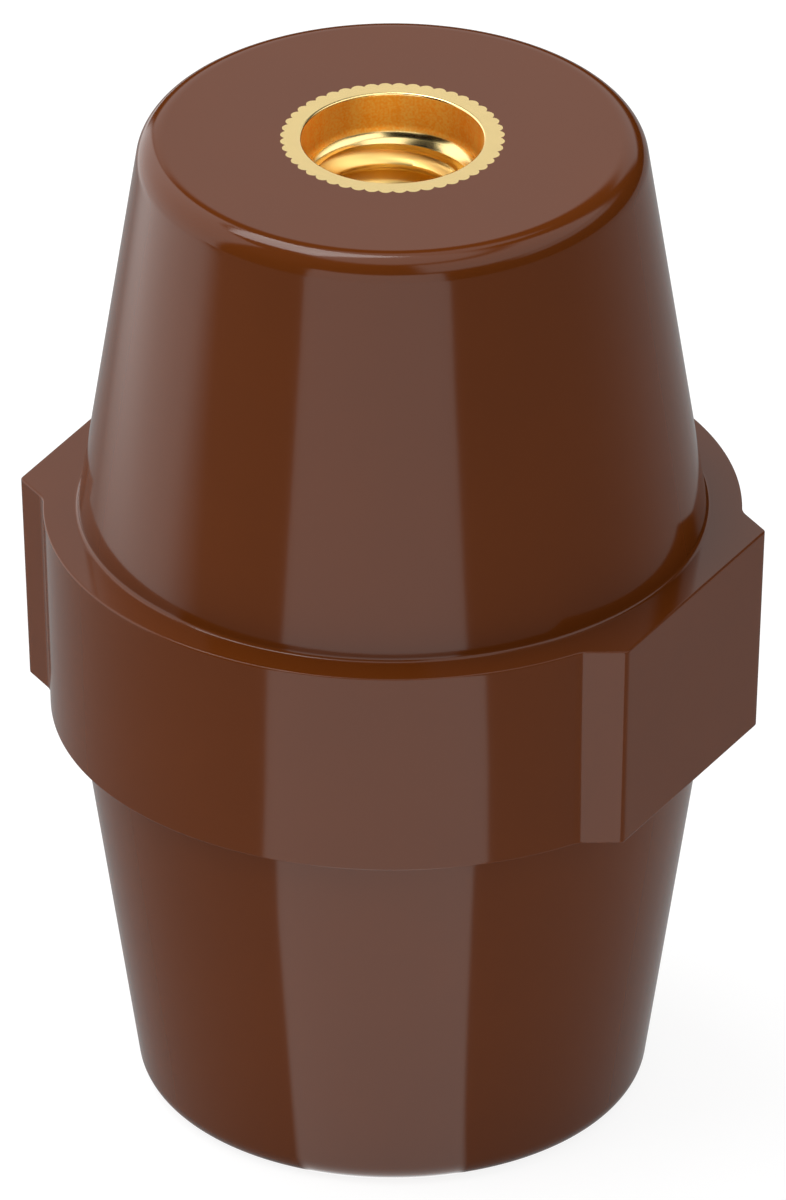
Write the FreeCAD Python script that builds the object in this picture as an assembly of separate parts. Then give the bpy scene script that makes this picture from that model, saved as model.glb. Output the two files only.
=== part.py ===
import FreeCAD, Part
import math
import os

# A standoff insulator for busbars. One moulded barrel, two cones back to back about a collar with two
# spanner ears, and a knurled brass insert with a blind threaded hole moulded flush into each end.
# Millimetres. The origin is the centre of the lower end face and +Z runs up the axis.
# The ears lie on +X and -X.

# Barrel
overall_height = 76.0
end_diameter = 36.0             # where the cone would meet the flat end without its rounded rim
waist_diameter = 45.0           # each cone where it meets the collar
rim_radius = 2.0

# Collar, all of whose side walls lean in towards the bottom for the mould
collar_height = 16.0
collar_diameter = 50.0          # at its upper face
collar_draft = 1.75             # degrees

# Spanner ears
across_flats = 50.0             # at the collar's upper face
flat_width = 20.0               # between the sharp corners of one flat
facet_turn = 60.0               # degrees that the facet beside a flat turns from it
ear_root_radius = 2.0           # hollow blend of a facet into the round collar
ear_corner_radius = 0.5

# Brass insert
insert_diameter = 16.0          # over the crests of the knurl
insert_length = 26.0
knurl_teeth = 48
knurl_depth = 0.3
knurl_crest_width = 0.5         # flat left on each tooth between two sharp notches
knurl_length = 19.0             # down from the end face
groove_diameter = 14.0          # the moulding fills this groove, which keeps the insert from being pulled out
end_flange_diameter = 15.2      # plain closed end below the groove
end_flange_length = 3.5

# Threaded hole in the insert, whose fine helix isn't part of this solid
thread_diameter = 12.0
thread_pitch = 1.75
thread_depth = 21.0             # full bore, measured from the end face
drill_point_angle = 118.0       # degrees
counterbore_diameter = 13.0
counterbore_depth = 3.0
mouth_chamfer = 0.15
shoulder_length = 1.25          # slope that leads from the counterbore into the bore

cutter_overrun = 1.0            # how far each cutting solid stands out past the end face that it opens

AXIS = FreeCAD.Vector(0, 0, 1)
ORIGIN = FreeCAD.Vector(0, 0, 0)
TOUCHING = 0.0001               # slack where two lengths should be equal
SAME_PLACE = 0.02               # slack where the middle of a slightly bowed edge is looked for


def profile_point(radius, z):
    return FreeCAD.Vector(radius, 0, z)


def flat_point(x, y, z):
    return FreeCAD.Vector(x, y, z)


def revolved(edges):
    """A solid of revolution about the axis from the edges of a closed profile in the XZ plane."""
    face = Part.Face(Part.Wire(edges))
    return face.revolve(ORIGIN, AXIS, 360)


def line(a, b):
    return Part.LineSegment(a, b).toShape()


def arc(a, middle, b):
    return Part.Arc(a, middle, b).toShape()


def rounded_end():
    """Profile points of one rounded rim, as (radius, distance in from the end face)."""
    collar_offset = (overall_height - collar_height) / 2
    lean = math.atan2((waist_diameter - end_diameter) / 2, collar_offset)
    # The rim's centre lies one radius in from the end face and one radius in from the cone.
    centre_depth = rim_radius
    wall_at_centre = end_diameter / 2 + centre_depth * math.tan(lean)
    centre_radius = wall_at_centre - rim_radius / math.cos(lean)
    on_cone = (centre_radius + rim_radius * math.cos(lean), centre_depth - rim_radius * math.sin(lean))
    halfway = (math.radians(90) + lean) / 2
    middle = (centre_radius + rim_radius * math.cos(halfway), centre_depth - rim_radius * math.sin(halfway))
    on_face = (centre_radius, 0.0)
    return on_cone, middle, on_face


def make_barrel():
    """Both cones and the core that runs through the collar."""
    on_cone, middle, on_face = rounded_end()
    collar_bottom = (overall_height - collar_height) / 2
    collar_top = collar_bottom + collar_height
    waist = waist_diameter / 2

    def low(point):
        return profile_point(point[0], point[1])

    def high(point):
        return profile_point(point[0], overall_height - point[1])

    foot_low = profile_point(waist, collar_bottom)
    foot_high = profile_point(waist, collar_top)
    return revolved([
        line(profile_point(0, 0), low(on_face)),
        arc(low(on_face), low(middle), low(on_cone)),
        line(low(on_cone), foot_low),
        line(foot_low, foot_high),
        line(foot_high, high(on_cone)),
        arc(high(on_cone), high(middle), high(on_face)),
        line(high(on_face), profile_point(0, overall_height)),
        line(profile_point(0, overall_height), profile_point(0, 0)),
    ])


def facet_offset(inset):
    """Distance from the axis to the plane of a facet, moved in by the draft's inset."""
    turn = math.radians(facet_turn)
    return (across_flats * math.cos(turn) + flat_width * math.sin(turn)) / 2 - inset


def ear_outline(inset, z):
    """Both ears in one six-sided outline, whose two far corners lie inside the round collar."""
    turn = math.radians(facet_turn)
    flat = across_flats / 2 - inset
    corner = (facet_offset(inset) - flat * math.cos(turn)) / math.sin(turn)
    middle = facet_offset(inset) / math.sin(turn)
    points = [(flat, -corner), (flat, corner), (0, middle), (-flat, corner), (-flat, -corner), (0, -middle)]
    return [flat_point(x, y, z) for x, y in points]


def tapered_prism(lower, upper):
    """A solid between two like outlines of flat points, with flat sides."""
    count = len(lower)
    faces = [Part.Face(Part.makePolygon(lower + lower[:1])), Part.Face(Part.makePolygon(upper + upper[:1]))]
    for i in range(count):
        j = (i + 1) % count
        faces.append(Part.Face(Part.makePolygon([lower[i], lower[j], upper[j], upper[i], lower[i]])))
    solid = Part.Solid(Part.Shell(faces))
    if solid.Volume < 0:
        solid.reverse()
    return solid


def rectangle(half_x, half_y, z):
    return [flat_point(x, y, z) for x, y in
            ((half_x, -half_y), (half_x, half_y), (-half_x, half_y), (-half_x, -half_y))]


def make_collar():
    """A round disc and two ears, all drafted, with the ears' upright edges rounded."""
    bottom = (overall_height - collar_height) / 2
    top = bottom + collar_height
    lean = collar_height * math.tan(math.radians(collar_draft))
    disc = collar_diameter / 2
    flat = across_flats / 2
    # The disc stops inside the ears, half way from where a facet has met it to the flat. Where the flats are
    # nearer than that, they cut the disc themselves.
    turn = math.radians(facet_turn)
    facet = facet_offset(0.0)
    meeting = min(facet * math.cos(turn) + math.sqrt(disc ** 2 - facet ** 2) * math.sin(turn), flat)
    stop = (meeting + flat) / 2
    round_part = Part.makeCone(disc - lean, disc, collar_height, flat_point(0, 0, bottom))
    past_disc = disc + cutter_overrun
    slab = tapered_prism(rectangle(stop - lean, past_disc, bottom), rectangle(stop, past_disc, top))
    ears = tapered_prism(ear_outline(lean, bottom), ear_outline(0.0, top))
    collar = round_part.common(slab).fuse(ears).removeSplitter()

    def upright_edges(on_flat):
        """The edges that bound the two flats, or all the others, by where their middles lie."""
        found = []
        for edge in collar.Edges:
            beside = abs(abs(edge.CenterOfMass.x) - (flat - lean / 2)) < SAME_PLACE
            if edge.BoundBox.ZLength > collar_height - TOUCHING and beside == on_flat:
                found.append(edge)
        return found

    # The hollow blend takes what the facet leaves beside the ear's corner.
    root_radius = min(ear_root_radius, (flat - meeting) / math.sin(turn) - ear_corner_radius)
    if root_radius > 0:
        collar = collar.makeFillet(root_radius, upright_edges(False))
    return collar.makeFillet(ear_corner_radius, upright_edges(True))


def knurled_column(top, bottom):
    """A column whose straight knurl has narrow crests and sharp roots, between two depths."""
    crest = insert_diameter / 2
    root = crest - knurl_depth
    step = 2 * math.pi / knurl_teeth
    half_crest = knurl_crest_width / (2 * crest)
    outline = []
    for tooth in range(knurl_teeth):
        middle = (tooth + 0.5) * step
        corners = ((root, middle - step / 2), (crest, middle - half_crest), (crest, middle + half_crest))
        for radius, angle in corners:
            outline.append(flat_point(radius * math.cos(angle), radius * math.sin(angle), bottom))
    return Part.Face(Part.makePolygon(outline + outline[:1])).extrude(AXIS * (top - bottom))


def make_insert_blank(above_face):
    """The insert's outside with its face at height zero, pointing up, and some length above that face."""
    knurl = knurled_column(above_face, -knurl_length)
    closed_end = flat_point(0, 0, -insert_length)
    neck = Part.makeCylinder(groove_diameter / 2, insert_length - knurl_length, closed_end)
    flange = Part.makeCylinder(end_flange_diameter / 2, end_flange_length, closed_end)
    return knurl.fuse([neck, flange]).removeSplitter()


def make_threaded_hole():
    """The hole's form without its helix: counterbore, sloping shoulder, bore and drill point."""
    mouth = counterbore_diameter / 2
    bore = (thread_diameter - thread_pitch) / 2
    point = bore / math.tan(math.radians(drill_point_angle / 2))
    points = [
        profile_point(0, cutter_overrun),
        profile_point(mouth + mouth_chamfer + cutter_overrun, cutter_overrun),
        profile_point(mouth, -mouth_chamfer),
        profile_point(mouth, -counterbore_depth),
        profile_point(bore, -counterbore_depth - shoulder_length),
        profile_point(bore, -thread_depth),
        profile_point(0, -thread_depth - point),
    ]
    return revolved([line(points[i - 1], points[i]) for i in range(len(points))])


def at_top(shape):
    return shape.translated(FreeCAD.Vector(0, 0, overall_height))


def at_bottom(shape):
    return shape.rotated(ORIGIN, FreeCAD.Vector(1, 0, 0), 180)


def main():
    os.makedirs("parts", exist_ok=True)
    room = make_insert_blank(cutter_overrun)
    body = make_barrel().fuse(make_collar()).removeSplitter().cut([at_top(room), at_bottom(room)])
    insert = make_insert_blank(0.0).cut(make_threaded_hole())
    nodes = {
        "insulator_body": body,
        "upper_insert": at_top(insert),
        "lower_insert": at_bottom(insert),
    }
    for name, shape in nodes.items():
        solids = shape.Solids
        print(name, "solids", len(solids), "valid", shape.isValid(), "volume", round(shape.Volume, 1))
        solid = solids[0] if len(solids) == 1 else shape
        solid.exportStep("parts/" + name + ".step")


main()
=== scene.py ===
import bmesh
import bpy
import math
from mathutils import Matrix, Vector


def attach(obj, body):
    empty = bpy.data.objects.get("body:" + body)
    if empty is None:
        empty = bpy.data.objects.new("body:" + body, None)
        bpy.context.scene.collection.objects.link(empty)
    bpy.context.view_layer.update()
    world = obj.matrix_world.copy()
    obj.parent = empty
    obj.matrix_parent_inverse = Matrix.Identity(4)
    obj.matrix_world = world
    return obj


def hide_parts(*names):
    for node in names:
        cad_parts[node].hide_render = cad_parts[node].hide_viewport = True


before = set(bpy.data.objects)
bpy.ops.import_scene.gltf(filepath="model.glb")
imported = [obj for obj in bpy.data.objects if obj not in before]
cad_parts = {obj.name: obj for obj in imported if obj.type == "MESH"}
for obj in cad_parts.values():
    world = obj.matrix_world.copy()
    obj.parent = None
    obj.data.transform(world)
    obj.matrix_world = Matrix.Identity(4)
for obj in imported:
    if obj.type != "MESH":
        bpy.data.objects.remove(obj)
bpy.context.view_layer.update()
print("frame loaded:", ", ".join(sorted(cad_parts)))

mm = 0.001
tau = 2 * math.pi


# Shared small tools

def linearColour(hexText):
    channels = [int(hexText[i:i + 2], 16) / 255 for i in (1, 3, 5)]
    linear = [c / 12.92 if c <= 0.04045 else ((c + 0.055) / 1.055) ** 2.4 for c in channels]
    return (*linear, 1.0)


def addNode(tree, kind, settings=None, inputs=None, links=None):
    node = tree.nodes.new(kind)
    for name, value in (settings or {}).items():
        setattr(node, name, value)
    for name, value in (inputs or {}).items():
        node.inputs[name].default_value = value
    for name, source in (links or {}).items():
        tree.links.new(source, node.inputs[name])
    return node


def sums(tree, operation, first, second, clamp=False):
    node = addNode(tree, "ShaderNodeMath", {"operation": operation, "use_clamp": clamp})
    for socket, value in zip(node.inputs, (first, second)):
        if isinstance(value, (int, float)):
            socket.default_value = value
        else:
            tree.links.new(value, socket)
    return node.outputs[0]


def ramp(tree, value, start, end, low=0.0, high=1.0):
    # MapRange can't run down from a higher to a lower value, so a falling ramp swaps its ends.
    if start > end:
        start, end, low, high = end, start, high, low
    node = addNode(tree, "ShaderNodeMapRange", {"interpolation_type": "SMOOTHSTEP"},
                   {"From Min": start, "From Max": end, "To Min": low, "To Max": high}, {"Value": value})
    return node.outputs["Result"]


def plateau(tree, value, low, high, soft):
    rising = ramp(tree, value, low - soft / 2, low + soft / 2)
    falling = ramp(tree, value, high + soft / 2, high - soft / 2)
    return sums(tree, "MULTIPLY", rising, falling)


def newMaterial(name):
    material = bpy.data.materials.new(name)
    material.use_nodes = True
    material.node_tree.nodes.clear()
    return material, material.node_tree


def steps(start, end, count):
    return [start + (end - start) * i / count for i in range(count + 1)]


# A ring is (radius, height) in millimetres, and either may be a function of the angle that gives it.
# The open ring of a circle is extruded and laid on the next ring, so a piece grows along its profile.

def onRing(ring, angle):
    radius, height = [part(angle) if callable(part) else part for part in ring]
    return (radius * math.cos(angle) * mm, radius * math.sin(angle) * mm, height * mm)


def growPiece(name, angles, rings):
    bpy.ops.object.select_all(action="DESELECT")
    bpy.ops.mesh.primitive_circle_add(vertices=len(angles), radius=1.0)
    piece = bpy.context.object
    piece.name = name
    piece.data.name = name
    for vertex, angle in zip(piece.data.vertices, angles):
        vertex.co = (math.cos(angle), math.sin(angle), 0)
    bpy.ops.object.mode_set(mode="EDIT")
    bpy.ops.mesh.select_mode(type="EDGE")
    bpy.ops.mesh.select_all(action="SELECT")
    for number, ring in enumerate(rings):
        if number:
            bpy.ops.mesh.extrude_edges_indiv()
        mesh = bmesh.from_edit_mesh(piece.data)
        for vertex in mesh.verts:
            if vertex.select:
                vertex.co = onRing(ring, math.atan2(vertex.co.y, vertex.co.x))
        bmesh.update_edit_mesh(piece.data)
    bpy.ops.object.mode_set(mode="OBJECT")
    return piece


def closePiece(piece):
    bpy.ops.object.select_all(action="DESELECT")
    piece.select_set(True)
    bpy.context.view_layer.objects.active = piece
    bpy.ops.object.mode_set(mode="EDIT")
    bpy.ops.mesh.select_all(action="SELECT")
    bpy.ops.mesh.remove_doubles(threshold=0.002 * mm)
    bpy.ops.mesh.select_all(action="SELECT")
    bpy.ops.mesh.fill_holes(sides=0)
    bpy.ops.mesh.select_all(action="SELECT")
    bpy.ops.mesh.normals_make_consistent(inside=False)
    bpy.ops.object.mode_set(mode="OBJECT")
    return piece


def smoothPiece(piece, edgeAngle):
    bpy.ops.object.select_all(action="DESELECT")
    piece.select_set(True)
    bpy.context.view_layer.objects.active = piece
    bpy.ops.object.shade_smooth_by_angle(angle=math.radians(edgeAngle))


# Brass insert: turned bar with a straight knurl, a counterbore and an M12 thread.
# Depths run in from its face.

insert = {
    "diameter": 16.0,
    "length": 26.0,
    "teeth": 48,
    "toothDepth": 0.3,
    "toothPlaces": (-1, -0.86, -0.66, -0.36, 0, 0.36, 0.66, 0.86),    # across one tooth, from notch to notch
    "notchPower": 2.2,           # how a tooth falls off to its notches: the higher, the flatter its crest
    "knurlLength": 19.0,
    "grooveDiameter": 14.0,
    "flangeDiameter": 15.2,
    "flangeLength": 3.5,
    "mouthRadius": 0.15,
    "counterboreDiameter": 13.0,
    "wallDepth": 2.51,           # of the counterbore, down to the hollow fillet at its floor
    "filletRadius": 1.15,
    "filletTurn": 54.0,          # degrees that the floor looks up where the fillet ends
    "lipDiameter": 11.46,
    "lipDepth": 3.66,            # the floor ends here in a lip, a little inside the thread's outer diameter
    "lipSlant": 0.0035,          # mm that the lip drops for each degree towards the thread's deeper side
    "lipSlantTurns": (-35, 40),  # degrees between which it slants
    "threadDiameter": 12.0,
    "pitch": 1.75,
    "ridgeShare": 0.5413,        # height of a metric internal thread's ridge, as a share of its pitch
    # One turn of the thread as places along the pitch and shares of the ridge's height, with a cut root.
    "ridgeProfile": [(0, 0), (0.16, 0.48), (0.32, 0.94), (0.39, 1), (0.46, 1), (0.52, 0.94), (0.68, 0.48),
                     (0.84, 0), (0.88, -0.1), (0.96, -0.1)],
    "threadDepth": 21.0,
    "drillPoint": 118.0,
    "seam": 300.0,               # bearing from +X at which each turn of the thread begins, in degrees
    "firstTurn": 3.47,           # depth of the first turn's upper flank there
    "runOut": (0.08, 0.22),      # share of the first turn in which its ridge rises
    "leadIn": 0.1,               # mm that the first flank starts lower on the far side
    "leadInSlant": 0.0066,       # and mm more for each degree towards the thread's deeper side
    "leadInTurns": (60, 120),    # degrees from the far side over which this fades out
    "leadInPlaces": 0.34,        # share of a pitch over which it fades out
    "meetSlack": 0.02,           # points of the thread this near to its ends are laid on them
}


def knurlAngles():
    count = insert["teeth"]
    places = insert["toothPlaces"]
    return [tau * (tooth + (place + 1) / 2) / count for tooth in range(count) for place in places]


def knurlRadius(angle):
    place = (angle * insert["teeth"] / tau) % 1 * 2 - 1      # -1 and 1 are the notches on either side
    return insert["diameter"] / 2 - insert["toothDepth"] * abs(place) ** insert["notchPower"]


def fromFar(angle):
    # Degrees past the middle of the turn, positive where the thread is deeper.
    return (insert["seam"] - math.degrees(angle)) % 360 - 180


def stepEnd(angle):
    # The thread's first groove cuts the lip a little, so its edge slants with the thread.
    shallow, deep = insert["lipSlantTurns"]
    return insert["lipDepth"] + insert["lipSlant"] * max(min(fromFar(angle), deep), shallow)


def makeThread(angles):
    outer = insert["threadDiameter"] / 2
    pitch = insert["pitch"]
    height = insert["ridgeShare"] * pitch
    fadeFrom, fadeTo = insert["leadInTurns"]
    turns = math.ceil((insert["threadDepth"] - insert["firstTurn"]) / pitch) + 1
    rows = [(turn + place, share) for turn in range(-1, turns) for place, share in insert["ridgeProfile"]]
    start = math.radians(insert["seam"])
    bearings = sorted(((start - angle) % tau for angle in angles))
    bearings.append(tau)
    bpy.ops.object.select_all(action="DESELECT")
    bpy.ops.mesh.primitive_grid_add(x_subdivisions=len(bearings) - 1, y_subdivisions=len(rows) - 1, size=2.0)
    thread = bpy.context.object
    rise, full = insert["runOut"]
    for vertex in thread.data.vertices:
        column = round((vertex.co.x + 1) / 2 * (len(bearings) - 1))
        row = round((vertex.co.y + 1) / 2 * (len(rows) - 1))
        roundShare = bearings[column] / tau
        turn, share = rows[row]
        angle = start - bearings[column]
        past = (roundShare - 0.5) * 360                      # degrees past the far side
        depth = insert["firstTurn"] + pitch * (turn + roundShare)
        fade = min(max((fadeTo - abs(past)) / (fadeTo - fadeFrom), 0), 1)
        leading = (insert["leadIn"] + insert["leadInSlant"] * past) * fade
        depth += leading * max(1 - abs(turn) / insert["leadInPlaces"], 0)
        ridge = share * height
        if turn < 0:
            # Above the first turn there is only the cut root that leads into it.
            ridge = min(ridge, 0) if turn > -0.13 else 0
        elif turn < 1:
            ridge *= min(max((roundShare - rise) / (full - rise), 0), 1)
        radius = outer - ridge
        top = stepEnd(angle)
        if depth < top + insert["meetSlack"]:
            depth, radius = top, outer
        if depth > insert["threadDepth"] - insert["meetSlack"]:
            depth, radius = insert["threadDepth"], outer - height
        vertex.co = onRing((radius, -depth), angle)
    return thread


def makeInsert(name):
    bore = insert["counterboreDiameter"] / 2
    step = insert["threadDiameter"] / 2
    crest = step - insert["ridgeShare"] * insert["pitch"]
    mouth = insert["mouthRadius"]
    tip = insert["threadDepth"] + crest / math.tan(math.radians(insert["drillPoint"] / 2))
    wall = insert["wallDepth"]
    fillet = insert["filletRadius"]
    rings = [
        (step, lambda angle: -stepEnd(angle)),
        (insert["lipDiameter"] / 2, lambda angle: -stepEnd(angle)),
    ]
    for turn in steps(math.radians(insert["filletTurn"]), 0, 16):
        rings.append((bore - fillet * (1 - math.cos(turn)), -wall - fillet * math.sin(turn)))
    rings.append((bore, -wall + 0.04))
    rings.append((bore, -mouth - 0.04))
    for turn in steps(0, math.pi / 2, 4):
        rings.append((bore + mouth - mouth * math.cos(turn), -mouth + mouth * math.sin(turn)))
    rings += [
        (bore + mouth + 0.05, 0.0),
        (bore + mouth + 0.5, 0.0),
        (knurlRadius, 0.0),
        (knurlRadius, -insert["knurlLength"]),
        (insert["grooveDiameter"] / 2, -insert["knurlLength"]),
        (insert["grooveDiameter"] / 2, -insert["length"] + insert["flangeLength"]),
        (insert["flangeDiameter"] / 2, -insert["length"] + insert["flangeLength"]),
        (insert["flangeDiameter"] / 2, -insert["length"]),
    ]
    angles = knurlAngles()
    outside = growPiece(name, angles, rings)
    drillPoint = growPiece(name + "Point", angles, [(crest, -insert["threadDepth"]), (0.05, -tip)])
    thread = makeThread(angles)
    bpy.ops.object.select_all(action="DESELECT")
    for part in (thread, drillPoint, outside):
        part.select_set(True)
    bpy.context.view_layer.objects.active = outside
    bpy.ops.object.join()
    return closePiece(outside)


# Body: one moulding, two cones back to back on a collar with two spanner ears

insulator = {
    "height": 76.0,
    "endDiameter": 36.0,
    "waistDiameter": 45.0,
    "rimRadius": 2.0,
    "footRadius": 0.3,           # hollow, where a cone meets the collar
    "collarHeight": 16.0,
    "collarDiameter": 50.0,
    "collarDraft": 1.75,         # degrees that its walls lean in towards the bottom
    "collarEdge": 0.12,          # radius of its edges, just enough to catch a thin line of light
    "acrossFlats": 50.0,
    "flatWidth": 20.0,
    "facetTurn": 60.0,           # degrees that the facet beside a flat turns from it
    "earRoot": 2.0,              # hollow blend of a facet into the round collar
    "earCorner": 0.5,
}


def collarOutline(lean, edge):
    # The outline moved in by the draft's lean and, at a rounded edge, by a little more.
    turn = math.radians(insulator["facetTurn"])
    inset = lean + edge
    disc = insulator["collarDiameter"] / 2 - inset
    flat = insulator["acrossFlats"] / 2 - inset
    facet = (insulator["acrossFlats"] * math.cos(turn) + insulator["flatWidth"] * math.sin(turn)) / 2 - inset
    corner = insulator["earCorner"] - edge
    root = insulator["earRoot"] + edge
    out = Vector((math.cos(turn), math.sin(turn)))           # square to the facet
    cornerX = flat - corner
    cornerCentre = Vector((cornerX, (facet - corner - cornerX * out.x) / out.y))
    along = math.sqrt((disc + root) ** 2 - (facet + root) ** 2)
    rootCentre = out * (facet + root) + Vector((out.y, -out.x)) * along

    def bearing(point):
        return math.atan2(point.y, point.x)

    bounds = [
        bearing(Vector((flat, cornerCentre.y))),
        bearing(cornerCentre + out * corner),
        bearing(rootCentre - out * root),
        bearing(rootCentre),
    ]

    def arcRadius(angle, centre, radius, side):
        across = centre.x * math.cos(angle) + centre.y * math.sin(angle)
        return across + side * math.sqrt(max(radius ** 2 - centre.length_squared + across ** 2, 0))

    def radiusAt(angle):
        folded = math.atan2(abs(math.sin(angle)), abs(math.cos(angle)))
        if folded < bounds[0]:
            return flat / math.cos(folded)
        if folded < bounds[1]:
            return arcRadius(folded, cornerCentre, corner, 1)
        if folded < bounds[2]:
            return facet / math.cos(folded - turn)
        if folded < bounds[3]:
            return arcRadius(folded, rootCentre, root, -1)
        return disc

    return radiusAt, bounds


def bodyAngles():
    angles = knurlAngles()
    _, bounds = collarOutline(0, 0)
    beside = math.radians(0.12)                              # keeps flats flat up to their rounded edges
    extra = steps(bounds[0], bounds[1], 7) + steps(bounds[2], bounds[3], 8)
    extra += [bounds[0] - beside, bounds[1] + beside, bounds[2] - beside, bounds[3] + beside]
    for angle in extra:
        angles += [angle, math.pi - angle, math.pi + angle, tau - angle]
    angles.sort()
    kept = [angles[0]]
    for angle in angles[1:]:
        if angle - kept[-1] > math.radians(0.02):
            kept.append(angle)
    return kept


def endRings():
    # From the bottom of the insert's seat, over the end face and down the cone to the collar's face.
    # Heights run down from the end face, as negative numbers.
    rim = insulator["rimRadius"]
    foot = insulator["footRadius"]
    coneLength = (insulator["height"] - insulator["collarHeight"]) / 2
    end = insulator["endDiameter"] / 2
    waist = insulator["waistDiameter"] / 2
    lean = math.atan2(waist - end, coneLength)
    groove = insert["grooveDiameter"] / 2
    flange = insert["flangeDiameter"] / 2
    rings = [
        (flange, -insert["length"]),
        (flange, -insert["length"] + insert["flangeLength"]),
        (groove, -insert["length"] + insert["flangeLength"]),
        (groove, -insert["knurlLength"]),
        (knurlRadius, -insert["knurlLength"]),
        (knurlRadius, 0.0),
        (insert["diameter"] / 2 + 0.2, 0.0),
    ]
    rimCentre = end + rim * math.tan(lean) - rim / math.cos(lean)
    rings.append((rimCentre - 0.1, 0.0))
    for turn in steps(math.pi / 2, lean, 16):
        rings.append((rimCentre + rim * math.cos(turn), -rim + rim * math.sin(turn)))
    footHeight = -coneLength + foot
    footCentre = waist - foot * math.tan(lean) + foot / math.cos(lean)
    footTop = (footCentre - foot * math.cos(lean), footHeight - foot * math.sin(lean))
    for height in (-rim - 0.1, -coneLength * 0.4, -coneLength * 0.7, footTop[1] + 0.1):
        rings.append((end - height * math.tan(lean), height))
    for turn in steps(math.pi + lean, 1.5 * math.pi, 6):
        rings.append((footCentre + foot * math.cos(turn), footHeight + foot * math.sin(turn)))
    rings.append((footCentre + 0.1, -coneLength))
    return rings


def makeBody():
    height = insulator["height"]
    top = (height + insulator["collarHeight"]) / 2
    bottom = top - insulator["collarHeight"]
    slope = math.tan(math.radians(insulator["collarDraft"]))
    edge = insulator["collarEdge"]

    def outline(level, inset):
        return (collarOutline((top - level) * slope, inset)[0], level)

    rings = [(radius, height + depth) for radius, depth in endRings()]
    rings += [outline(top, 0.9), outline(top, edge + 0.06)]
    for turn in steps(0, math.pi / 2, 4):
        rings.append(outline(top - edge + edge * math.cos(turn), edge - edge * math.sin(turn)))
    for level in (top - edge - 0.06, (2 * top + bottom) / 3, (top + 2 * bottom) / 3, bottom + edge + 0.06):
        rings.append(outline(level, 0.0))
    for turn in steps(math.pi / 2, 0, 4):
        rings.append(outline(bottom + edge - edge * math.cos(turn), edge - edge * math.sin(turn)))
    rings += [outline(bottom, edge + 0.06), outline(bottom, 0.9)]
    rings += [(radius, -depth) for radius, depth in reversed(endRings())]
    return closePiece(growPiece("mouldedBody", bodyAngles(), rings))


# Glass-fibre polyester, compression moulded in a polished mould. The eye gets a deep brown under a clean
# gloss: reflections with firm edges that waver a little where the skin has sunk, and a very fine grain.

polyesterFinish = {
    "tints": ("#5A2B0D", "#5F2D0B"),
    "tintSize": 9.0,             # mm across one cloud of the tint
    "sinkSize": 6.0,             # and across one shallow dip of the skin
    "sinkDepth": 0.004,
    "grainSize": 0.12,
    "grainDepth": 0.0004,
    "roughness": (0.09, 0.12),
    "refraction": 1.36,          # matched to the photograph; solid resin has about 1.5
}


def mouldedPolyester():
    finish = polyesterFinish
    material, tree = newMaterial("mouldedPolyester")
    place = addNode(tree, "ShaderNodeTexCoord")
    cloud = addNode(tree, "ShaderNodeTexNoise",
                    inputs={"Scale": 1 / (finish["tintSize"] * mm), "Detail": 3.0},
                    links={"Vector": place.outputs["Object"]})
    tint = addNode(tree, "ShaderNodeMix", {"data_type": "RGBA"},
                   links={"Factor": cloud.outputs["Fac"]})
    tint.inputs["A"].default_value = linearColour(finish["tints"][0])
    tint.inputs["B"].default_value = linearColour(finish["tints"][1])
    sink = addNode(tree, "ShaderNodeTexNoise",
                   inputs={"Scale": 1 / (finish["sinkSize"] * mm), "Detail": 1.0},
                   links={"Vector": place.outputs["Object"]})
    wave = addNode(tree, "ShaderNodeBump",
                   inputs={"Strength": 1.0, "Distance": finish["sinkDepth"] * mm},
                   links={"Height": sink.outputs["Fac"]})
    grain = addNode(tree, "ShaderNodeTexNoise",
                    inputs={"Scale": 1 / (finish["grainSize"] * mm), "Detail": 1.0},
                    links={"Vector": place.outputs["Object"]})
    bump = addNode(tree, "ShaderNodeBump",
                   inputs={"Strength": 1.0, "Distance": finish["grainDepth"] * mm},
                   links={"Height": grain.outputs["Fac"], "Normal": wave.outputs["Normal"]})
    smoothest, dullest = finish["roughness"]
    gloss = addNode(tree, "ShaderNodeMapRange", inputs={"To Min": smoothest, "To Max": dullest},
                    links={"Value": cloud.outputs["Fac"]})
    skin = addNode(tree, "ShaderNodeBsdfPrincipled", inputs={"IOR": finish["refraction"]},
                   links={"Base Color": tint.outputs["Result"], "Roughness": gloss.outputs["Result"],
                          "Normal": bump.outputs["Normal"]})
    addNode(tree, "ShaderNodeOutputMaterial", links={"Surface": skin.outputs["BSDF"]})
    return material


# Free-cutting brass, turned and bored. The eye gets a pale bright face and, in the hole, a deeper gold with
# dull streaks
# along the bored wall: light is thrown there from wall to wall and comes out deeper in colour. That deeper
# gold is
# painted bounce light: the wall and the thread get deeper base colours than the face.

brassFinish = {
    "face": "#FFE29D",
    # Painted bounce light: the wall's deeper gold, streaked at random between a darker and a paler tint.
    "wallDarkBounceTint": "#FFB848",
    "wallPaleBounceTint": "#FFD678",
    # Painted bounce light: the thread's gold is a little deeper than the face's.
    "thread": "#FFDA86",
    "streakWidth": 1.1,          # mm, drawn coarser than a tool's marks so that the streaks show
    "streakSquash": 0.12,        # of the pattern along the axis, which draws the streaks long
    "speckleSize": 0.16,
    "grainSize": 0.08,
    "grainDepth": 0.0012,
    "roughness": (0.16, 0.22),
    "wallDuller": 0.3,
    "threadDuller": 0.16,
    "wallFrom": 0.15,            # mm below the face
    "wallTo": -0.65,             # mm from the lip, as the ends of the thread are
    "wallSoft": 0.12,
    "threadFrom": 0.04,
    "threadFull": 0.16,
}


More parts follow.
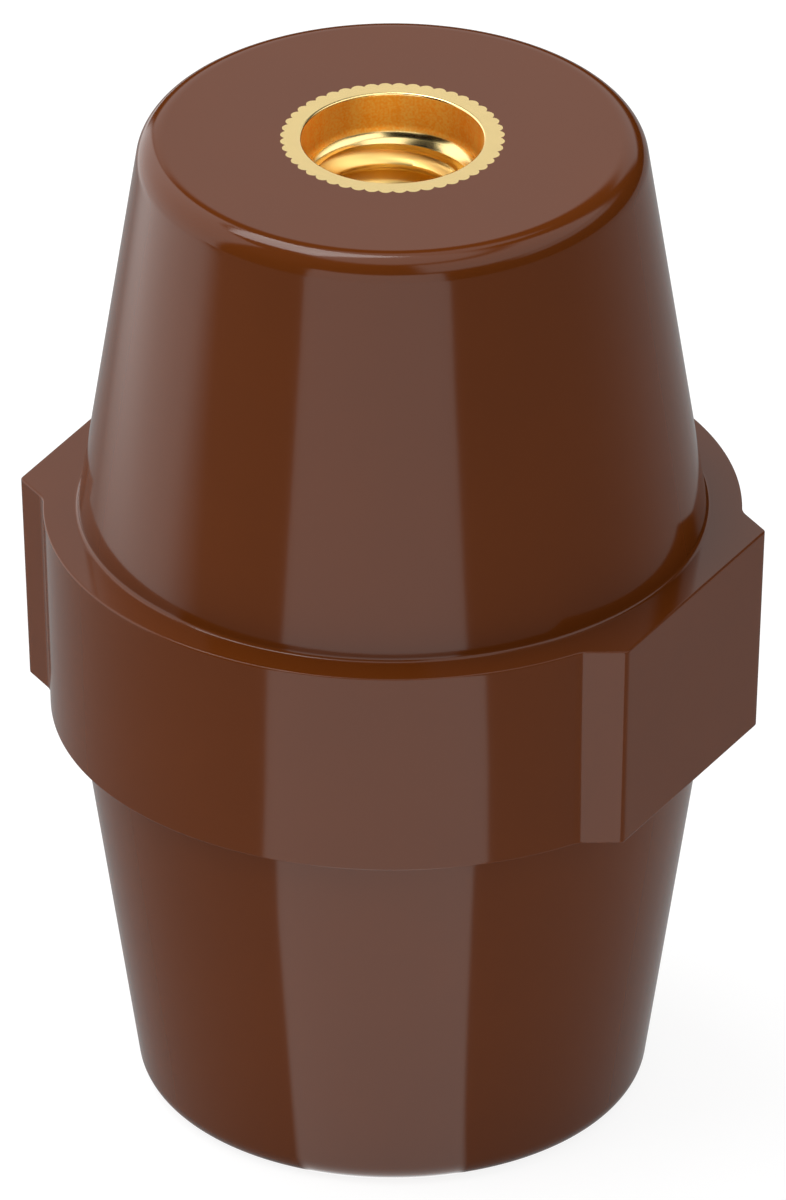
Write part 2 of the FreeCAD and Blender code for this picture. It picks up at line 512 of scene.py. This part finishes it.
def turnedBrass():
    finish = brassFinish
    material, tree = newMaterial("turnedBrass")
    place = addNode(tree, "ShaderNodeTexCoord")
    stretch = addNode(tree, "ShaderNodeMapping", inputs={"Scale": (1.0, 1.0, finish["streakSquash"])},
                      links={"Vector": place.outputs["Object"]})
    streak = addNode(tree, "ShaderNodeTexNoise",
                     inputs={"Scale": 1 / (finish["streakWidth"] * mm), "Detail": 3.0},
                     links={"Vector": stretch.outputs["Vector"]})
    grain = addNode(tree, "ShaderNodeTexNoise",
                    inputs={"Scale": 1 / (finish["grainSize"] * mm), "Detail": 1.0},
                    links={"Vector": place.outputs["Object"]})
    bump = addNode(tree, "ShaderNodeBump",
                   inputs={"Strength": 1.0, "Distance": finish["grainDepth"] * mm},
                   links={"Height": grain.outputs["Fac"]})
    parts = addNode(tree, "ShaderNodeSeparateXYZ", links={0: place.outputs["Object"]})
    middle = insulator["height"] / 2 * mm
    fromMiddle = sums(tree, "ABSOLUTE", sums(tree, "SUBTRACT", parts.outputs["Z"], middle), 0.0)
    depth = sums(tree, "SUBTRACT", middle, fromMiddle)
    lip = insert["lipDepth"]
    wallFrom, wallTo = finish["wallFrom"] * mm, (lip + finish["wallTo"]) * mm
    wall = plateau(tree, depth, wallFrom, wallTo, finish["wallSoft"] * mm)
    thread = ramp(tree, depth, (lip + finish["threadFrom"]) * mm, (lip + finish["threadFull"]) * mm)
    speckle = addNode(tree, "ShaderNodeTexNoise",
                      inputs={"Scale": 1 / (finish["speckleSize"] * mm), "Detail": 0.0},
                      links={"Vector": place.outputs["Object"]})
    both = sums(tree, "ADD", streak.outputs["Fac"], speckle.outputs["Fac"])
    uneven = sums(tree, "MULTIPLY", both, 0.5)
    # The wall's colour is painted bounce light, a deeper gold than the face, streaked at random between two
    # tints.
    wallStreaksAndBounceTint = addNode(tree, "ShaderNodeMix", {"data_type": "RGBA"},
                   links={"Factor": ramp(tree, uneven, 0.3, 0.7)})
    wallStreaksAndBounceTint.inputs["A"].default_value = linearColour(finish["wallDarkBounceTint"])
    wallStreaksAndBounceTint.inputs["B"].default_value = linearColour(finish["wallPaleBounceTint"])
    bored = addNode(tree, "ShaderNodeMix", {"data_type": "RGBA"},
                    links={"Factor": wall, "B": wallStreaksAndBounceTint.outputs["Result"]})
    bored.inputs["A"].default_value = linearColour(finish["face"])
    # The thread's deeper gold is painted bounce light too.
    cut = addNode(tree, "ShaderNodeMix", {"data_type": "RGBA"},
                  links={"Factor": thread, "A": bored.outputs["Result"]})
    cut.inputs["B"].default_value = linearColour(finish["thread"])
    smoothest, dullest = finish["roughness"]
    gloss = addNode(tree, "ShaderNodeMapRange", inputs={"To Min": smoothest, "To Max": dullest},
                    links={"Value": streak.outputs["Fac"]})
    dullWall = sums(tree, "MULTIPLY", wall, finish["wallDuller"])
    dullThread = sums(tree, "MULTIPLY", thread, finish["threadDuller"])
    duller = sums(tree, "ADD", dullWall, dullThread)
    metal = addNode(tree, "ShaderNodeBsdfPrincipled", inputs={"Metallic": 1.0},
                    links={"Base Color": cut.outputs["Result"], "Normal": bump.outputs["Normal"],
                           "Roughness": sums(tree, "ADD", gloss.outputs["Result"], duller)})
    addNode(tree, "ShaderNodeOutputMaterial", links={"Surface": metal.outputs["BSDF"]})
    return material


polyester = mouldedPolyester()
brass = turnedBrass()

sharpFrom = 40                   # degrees between faces from which an edge stays sharp

body = makeBody()
smoothPiece(body, sharpFrom)
body.data.materials.append(polyester)
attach(body, "root")
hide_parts("insulator_body")
print("body made:", len(body.data.polygons), "faces")

upper = makeInsert("upperBrassInsert")
lower = upper.copy()
lower.data = upper.data.copy()
lower.name = "lowerBrassInsert"
lower.data.name = "lowerBrassInsert"
bpy.context.collection.objects.link(lower)
lower.data.transform(Matrix.Rotation(math.pi, 4, "X"))
upper.data.transform(Matrix.Translation((0, 0, insulator["height"] * mm)))
for piece, node in ((upper, "upper_insert"), (lower, "lower_insert")):
    smoothPiece(piece, sharpFrom)
    piece.data.materials.append(brass)
    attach(piece, "root")
    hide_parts(node)
print("inserts made:", len(upper.data.polygons), "faces each")


# Camera: a long lens, far off. A longer one would put the camera of the other views so far away that
# the part lies beyond its far clip, at 100 times the part's radius, and those views would be empty.

camera = {
    "distance": 2500.0,          # from the aim point, which lies near half height on the axis
    "lens": 1047.88,
    "pitch": 29.967,
    "azimuth": 29.879,           # degrees from straight in front of the row, towards the ear on +X
    "aimRight": 0.036,           # the aim point's small move in the picture, in mm
    "aimUp": 0.093,
    "sensorWidth": 36.0,
    "clip": (0.1, 20.0),         # metres
}


def makeCamera():
    pitch = math.radians(camera["pitch"])
    turn = math.radians(camera["azimuth"])
    back = Vector((math.cos(pitch) * math.sin(turn), -math.cos(pitch) * math.cos(turn), math.sin(pitch)))
    right = Vector((math.cos(turn), math.sin(turn), 0))
    up = back.cross(right)
    aim = Vector((0, 0, insulator["height"] / 2)) + right * camera["aimRight"] + up * camera["aimUp"]
    bpy.ops.object.select_all(action="DESELECT")
    bpy.ops.object.camera_add(location=(aim + back * camera["distance"]) * mm)
    seen = bpy.context.object
    seen.rotation_mode = "QUATERNION"
    seen.rotation_quaternion = back.to_track_quat("Z", "Y")
    seen.data.lens = camera["lens"]
    seen.data.sensor_width = camera["sensorWidth"]
    seen.data.clip_start, seen.data.clip_end = camera["clip"]
    bpy.context.scene.camera = seen


makeCamera()
print("camera placed")


# Studio: pale floor, white surroundings and cards that only the gloss sees.
# Bearings run from the camera's side towards its right, heights up from the horizon, both in degrees.
# A soft edge is given as its width. Levels are of white.

studio = {
    "ambient": 0.68,
    "floor": {"size": 12.0, "albedo": 0.86, "glow": 1.15, "glowShare": 0.75},    # size in metres
    "shellRadius": 700.0,
    "windows": [
        {"name": "front", "bearings": (-36, 22), "heights": (-20, 29), "soft": (1, 4), "level": 1.78},
        {"name": "left", "bearings": (-157, -79), "heights": (-20, 54), "soft": (5, 2), "level": 1.7},
        {"name": "rightRear", "bearings": (14, 122), "heights": (34, 66), "soft": (10, 8), "level": 1.57},
        {"name": "rightRearLow", "bearings": (58, 120), "heights": (26, 50), "soft": (20, 6), "level": 1.15},
        {"name": "backHigh", "bearings": (148, 190), "heights": (56, 79), "soft": (6, 6), "level": 1.2},
        {"name": "backLow", "bearings": (143, 203), "heights": (15, 37), "soft": (8, 6), "level": 0.91},
        {"name": "above", "bearings": (-400, 400), "heights": (71, 100), "soft": (1, 8), "level": 1.7},
    ],
    "mat": {
        "lift": 0.3,
        "frontSideLevels": (0.36, 0.26),     # close to the part and far from it
        "rearSideLevel": 0.38,
        "frontLevel": 1.86,
        # Each is a point, right of and away from the axis in mm, and the bearing of the edge from there.
        "frontEdges": [
            (38.5, -73.0, 22.6),
            (38.5, -73.0, 30.8),
            (-26.0, -34.5, -36.8),
            (-26.0, -34.5, -47.4),
        ],
        "leftLevel": 1.57,
    },
    "key": {"bearing": -135.0, "height": 67.0, "distance": 500.0, "size": (258.0, 215.0), "level": 6.1},
    "fill": {"bearing": -75.0, "height": 55.0, "distance": 1200.0, "size": 900.0, "level": 0.38},
}


def seenByGlossOnly(card):
    card.visible_camera = False
    card.visible_diffuse = False
    card.visible_transmission = False
    card.visible_volume_scatter = False
    card.visible_shadow = False
    card.rotation_euler.z = math.radians(camera["azimuth"])


def glowCard(name):
    material, tree = newMaterial(name)
    glow = addNode(tree, "ShaderNodeEmission")
    addNode(tree, "ShaderNodeOutputMaterial", links={"Surface": glow.outputs["Emission"]})
    place = addNode(tree, "ShaderNodeTexCoord")
    parts = addNode(tree, "ShaderNodeSeparateXYZ", links={0: place.outputs["Object"]})
    return material, tree, glow.inputs["Strength"], place.outputs["Object"], parts


def bearingOf(tree, parts):
    toCamera = sums(tree, "MULTIPLY", parts.outputs["Y"], -1.0)
    bearing = sums(tree, "ARCTAN2", parts.outputs["X"], toCamera)
    return sums(tree, "DEGREES", bearing, 0.0)


def seenDirectly(tree):
    rays = addNode(tree, "ShaderNodeLightPath")
    either = sums(tree, "ADD", rays.outputs["Is Camera Ray"], rays.outputs["Is Glossy Ray"])
    return sums(tree, "ADD", either, rays.outputs["Is Transmission Ray"], True)


def makeFloor():
    # Seen directly, the sheet glows white enough to vanish and still shows the part's soft shadow.
    sheet = studio["floor"]
    pale = sheet["albedo"]
    bpy.ops.object.select_all(action="DESELECT")
    bpy.ops.mesh.primitive_plane_add(size=sheet["size"])
    floor = bpy.context.object
    floor.name = "floorSheet"
    material, tree = newMaterial("paleFloor")
    paper = addNode(tree, "ShaderNodeBsdfDiffuse", inputs={"Color": (pale, pale, pale, 1.0)})
    white = addNode(tree, "ShaderNodeEmission", inputs={"Strength": sheet["glow"]})
    share = sums(tree, "MULTIPLY", seenDirectly(tree), sheet["glowShare"])
    mixed = addNode(tree, "ShaderNodeMixShader", links={0: share, 1: paper.outputs[0], 2: white.outputs[0]})
    addNode(tree, "ShaderNodeOutputMaterial", links={"Surface": mixed.outputs[0]})
    floor.data.materials.append(material)


def makeWorld():
    world = bpy.data.worlds.new("whiteRoom")
    bpy.context.scene.world = world
    world.use_nodes = True
    tree = world.node_tree
    tree.nodes.clear()
    level = addNode(tree, "ShaderNodeMapRange", inputs={"To Min": studio["ambient"], "To Max": 1.0},
                    links={"Value": seenDirectly(tree)})
    sky = addNode(tree, "ShaderNodeBackground", inputs={"Color": (1.0, 1.0, 1.0, 1.0)},
                  links={"Strength": level.outputs["Result"]})
    addNode(tree, "ShaderNodeOutputWorld", links={"Surface": sky.outputs["Background"]})


def makeShell():
    bpy.ops.object.select_all(action="DESELECT")
    bpy.ops.mesh.primitive_uv_sphere_add(segments=96, ring_count=48, radius=studio["shellRadius"] * mm)
    shell = bpy.context.object
    shell.name = "glossShell"
    bpy.ops.object.shade_smooth()
    material, tree, strength, place, parts = glowCard("windowWall")
    length = addNode(tree, "ShaderNodeVectorMath", {"operation": "LENGTH"}, links={0: place})
    rise = sums(tree, "DIVIDE", parts.outputs["Z"], length.outputs["Value"])
    height = sums(tree, "DEGREES", sums(tree, "ARCSINE", rise, 0.0), 0.0)
    bearing = bearingOf(tree, parts)
    # The cards behind the part run past 180 degrees, so they read a bearing that does too.
    behind = sums(tree, "LESS_THAN", bearing, -100.0)
    unbroken = sums(tree, "ADD", bearing, sums(tree, "MULTIPLY", behind, 360.0))
    total = None
    for window in studio["windows"]:
        low, high = window["bearings"]
        across = plateau(tree, unbroken if high > 180 else bearing, low, high, window["soft"][0])
        upright = plateau(tree, height, *window["heights"], window["soft"][1])
        lit = sums(tree, "MULTIPLY", sums(tree, "MULTIPLY", across, upright), window["level"])
        total = lit if total is None else sums(tree, "MAXIMUM", total, lit)
    tree.links.new(total, strength)
    shell.data.materials.append(material)
    shell.location.z = insulator["height"] / 2 * mm
    seenByGlossOnly(shell)


def makeMat():
    mat = studio["mat"]
    bpy.ops.object.select_all(action="DESELECT")
    bpy.ops.mesh.primitive_circle_add(vertices=96, radius=studio["shellRadius"] * mm, fill_type="NGON")
    sheet = bpy.context.object
    sheet.name = "glossMat"
    sheet.location.z = mat["lift"] * mm
    material, tree, strength, place, parts = glowCard("floorMat")
    right, away = parts.outputs["X"], parts.outputs["Y"]
    sideways = sums(tree, "ABSOLUTE", bearingOf(tree, parts), 0.0)
    length = addNode(tree, "ShaderNodeVectorMath", {"operation": "LENGTH"}, links={0: place})
    near, far = mat["frontSideLevels"]
    frontSide = ramp(tree, length.outputs["Value"], 60 * mm, 170 * mm, near, far)
    total = sums(tree, "MULTIPLY", ramp(tree, sideways, 115, 75), frontSide)
    total = sums(tree, "ADD", total, ramp(tree, sideways, 75, 115, 0.0, mat["rearSideLevel"]))
    leftWall = sums(tree, "MULTIPLY", ramp(tree, right, -60 * mm, -155 * mm), ramp(tree, away, -90 * mm, 0.0))
    total = sums(tree, "MAXIMUM", total, sums(tree, "MULTIPLY", leftWall, mat["leftLevel"]))
    inside = None
    for startRight, startAway, edgeBearing in mat["frontEdges"]:
        # Distance beyond the edge, which runs from its start on that bearing.
        side = math.copysign(1, edgeBearing)
        turn = math.radians(abs(edgeBearing))
        across = sums(tree, "MULTIPLY", sums(tree, "SUBTRACT", right, startRight * mm), side * math.cos(turn))
        along = sums(tree, "MULTIPLY", sums(tree, "SUBTRACT", away, startAway * mm), math.sin(turn))
        within = ramp(tree, sums(tree, "ADD", across, along), 0.5 * mm, -0.5 * mm)
        inside = within if inside is None else sums(tree, "MULTIPLY", inside, within)
    total = sums(tree, "MAXIMUM", total, sums(tree, "MULTIPLY", inside, mat["frontLevel"]))
    tree.links.new(total, strength)
    sheet.data.materials.append(material)
    seenByGlossOnly(sheet)


def aimFrom(bearing, height):
    turn = math.radians(bearing + camera["azimuth"])
    rise = math.radians(height)
    return Vector((math.sin(turn) * math.cos(rise), -math.cos(turn) * math.cos(rise), math.sin(rise)))


def makeKey():
    key = studio["key"]
    towards = aimFrom(key["bearing"], key["height"])
    bpy.ops.object.select_all(action="DESELECT")
    bpy.ops.object.light_add(type="AREA", location=(towards * key["distance"] + Vector((0, 0, 76))) * mm)
    lamp = bpy.context.object
    lamp.name = "keySoftbox"
    lamp.rotation_mode = "QUATERNION"
    lamp.rotation_quaternion = towards.to_track_quat("Z", "Y")
    lamp.data.shape = "RECTANGLE"
    lamp.data.size = key["size"][0] * mm
    lamp.data.size_y = key["size"][1] * mm
    lamp.data.energy = key["level"] * math.pi * lamp.data.size * lamp.data.size_y


def makeFill():
    fill = studio["fill"]
    towards = aimFrom(fill["bearing"], fill["height"])
    bpy.ops.object.select_all(action="DESELECT")
    bpy.ops.object.light_add(type="AREA", location=towards * fill["distance"] * mm)
    lamp = bpy.context.object
    lamp.name = "leftFill"
    lamp.rotation_mode = "QUATERNION"
    lamp.rotation_quaternion = towards.to_track_quat("Z", "Y")
    lamp.data.size = fill["size"] * mm
    lamp.data.energy = fill["level"] * (math.pi * fill["distance"] * mm) ** 2
    lamp.visible_glossy = False


bpy.context.scene.view_settings.view_transform = "Standard"
makeFloor()
makeWorld()
makeShell()
makeMat()
makeKey()
makeFill()
print("studio set")
